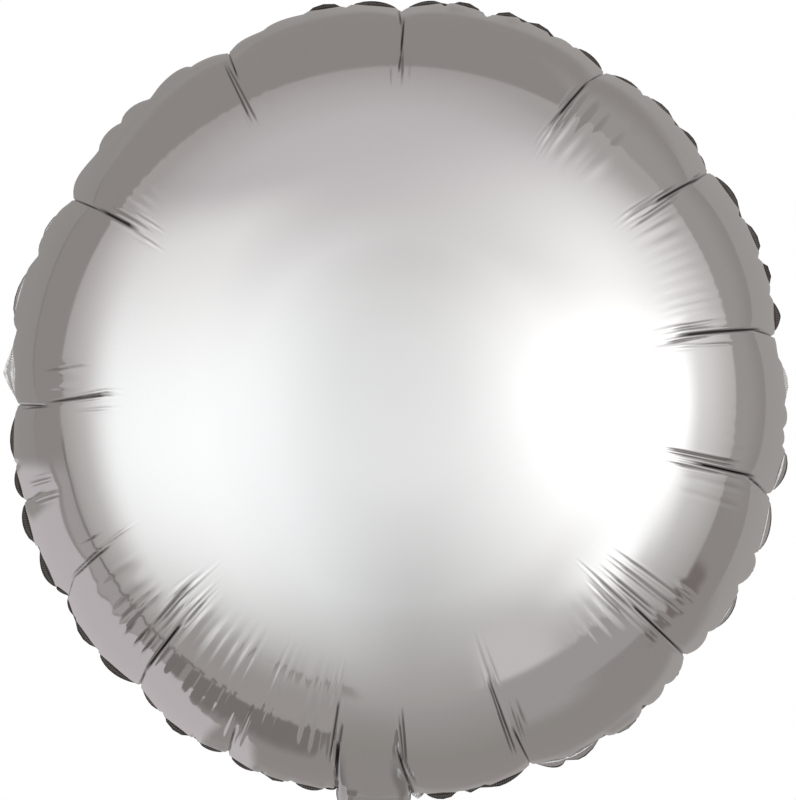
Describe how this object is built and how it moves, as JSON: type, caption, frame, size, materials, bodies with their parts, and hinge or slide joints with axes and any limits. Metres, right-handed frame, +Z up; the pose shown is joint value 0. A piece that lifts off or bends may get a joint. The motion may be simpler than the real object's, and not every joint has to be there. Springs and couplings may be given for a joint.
{
  "type": "round foil balloon",
  "caption": "Round foil balloon, inflated: puckered discs of satin silver film welded round a scalloped rim, with a flat filling tail.",
  "frame": {"origin": "middle of the top of the tail, where a ribbon is tied round it", "axes": "+Z up from the tail through the middle of the disc; the seam lies in the plane Y = 0 and the front faces -Y"},
  "size_m": [0.3597, 0.2122, 0.4181],
  "materials": {
    "foil": "satin vacuum-metallised film",
    "welded_foil": "heat-sealed metallised film, finely embossed",
    "valve_film": "clear polyethylene film"
  },
  "bodies": {
    "root": {"front_panel": "foil", "back_panel": "foil", "front_tail_film": "foil", "back_tail_film": "foil", "rim_seam": "welded_foil", "tail_seam_left": "welded_foil", "tail_seam_right": "welded_foil", "valve_front_film": "valve_film", "valve_back_film": "valve_film"}
  },
  "joints": []
}
